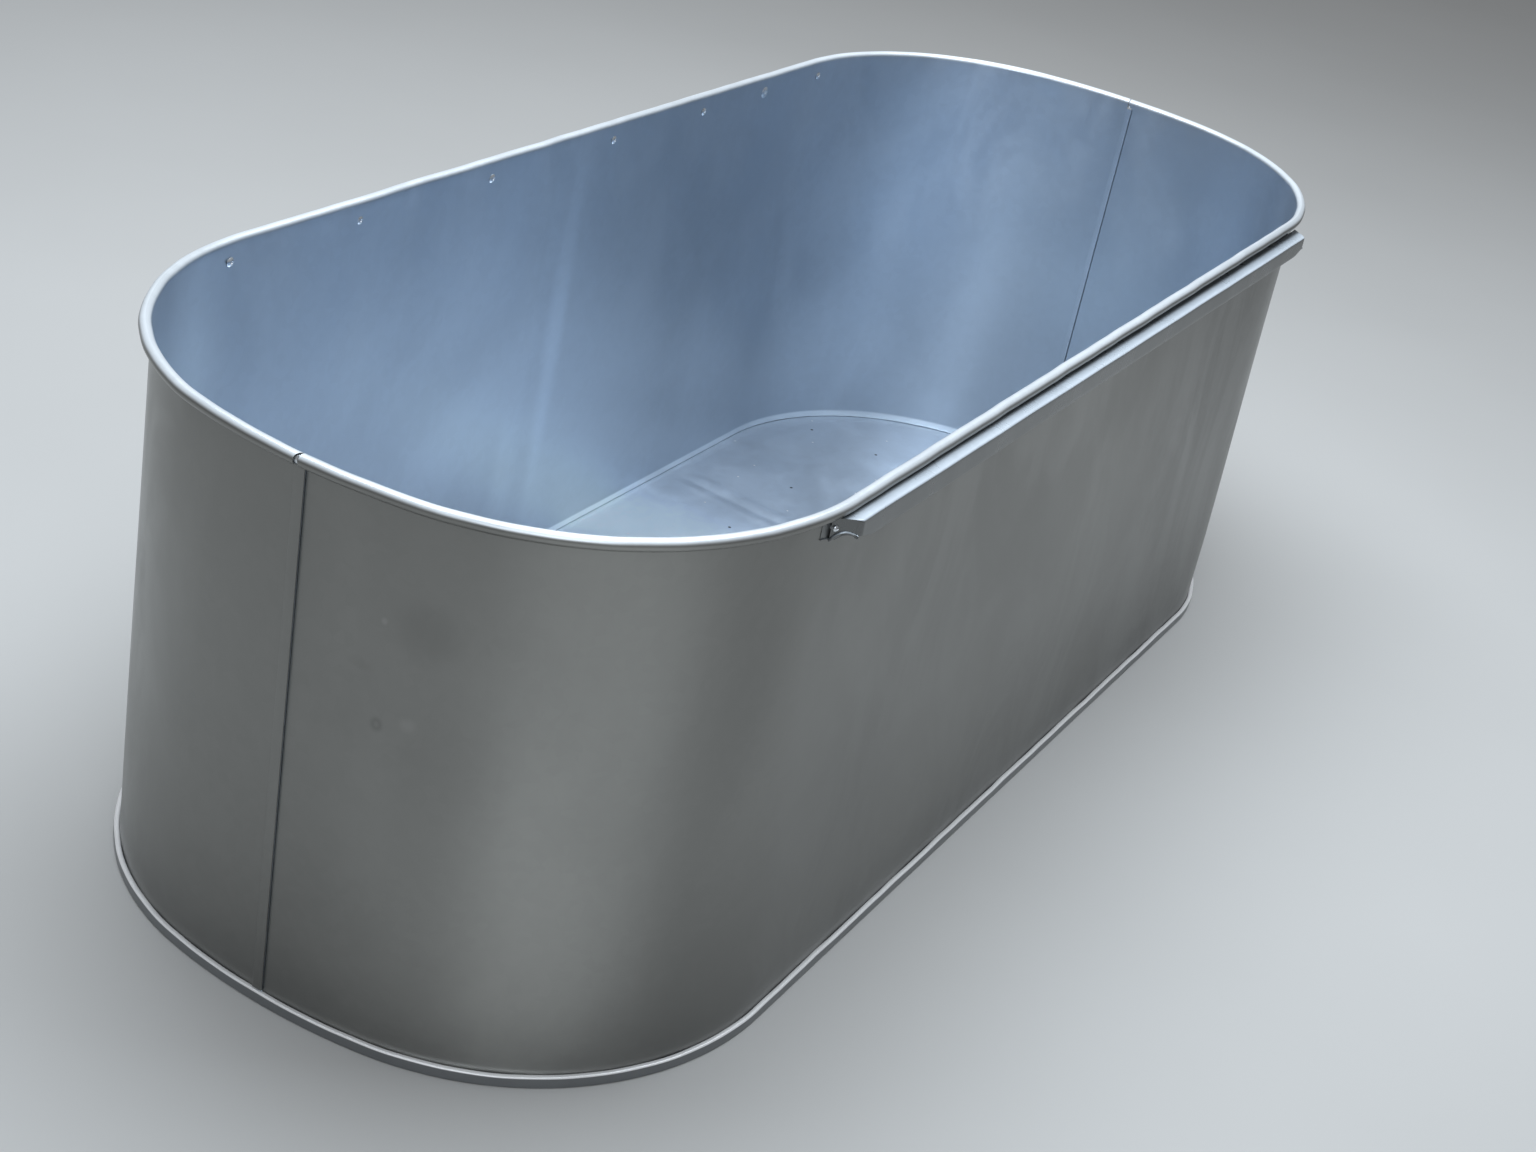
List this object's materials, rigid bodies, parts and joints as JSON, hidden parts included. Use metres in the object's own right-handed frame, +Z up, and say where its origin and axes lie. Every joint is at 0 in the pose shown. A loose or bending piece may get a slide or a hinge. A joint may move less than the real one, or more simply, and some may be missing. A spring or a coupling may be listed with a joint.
{
  "type": "livestock water trough",
  "caption": "Oval open-top trough of folded galvanised sheet with a wired rim, lock-seamed ends, a double-seamed base and riveted side rails, for watering livestock.",
  "frame": {"origin": "on the ground under the middle of the trough", "axes": "+X along the length, +Y across the width, +Z up to the rim"},
  "size_m": [1.8012, 0.744, 0.5847],
  "materials": {
    "galvanised_wall": "smooth hot-dip galvanised sheet, satin, small spangle",
    "galvanised_floor": "smooth hot-dip galvanised sheet, satin",
    "galvanised_rail": "smooth hot-dip galvanised sheet, satin",
    "rim_wire_steel": "galvanised round rod, hidden in the rolled rim",
    "rivet_steel": "bright plated blind rivets"
  },
  "bodies": {
    "root": {"floor_sheet": "galvanised_floor", "wall_sheet_left": "galvanised_wall", "rim_wire_left": "rim_wire_steel", "side_rail_left": "galvanised_rail", "wall_sheet_right": "galvanised_wall", "rim_wire_right": "rim_wire_steel", "side_rail_right": "galvanised_rail", "rail_rivet_left_1": "rivet_steel", "rail_rivet_left_2": "rivet_steel", "rail_rivet_left_3": "rivet_steel", "rail_rivet_left_4": "rivet_steel", "rail_rivet_left_5": "rivet_steel", "rail_rivet_left_6": "rivet_steel", "rail_rivet_left_7": "rivet_steel", "rail_rivet_right_1": "rivet_steel", "rail_rivet_right_2": "rivet_steel", "rail_rivet_right_3": "rivet_steel", "rail_rivet_right_4": "rivet_steel", "rail_rivet_right_5": "rivet_steel", "rail_rivet_right_6": "rivet_steel", "rail_rivet_right_7": "rivet_steel"}
  },
  "joints": []
}
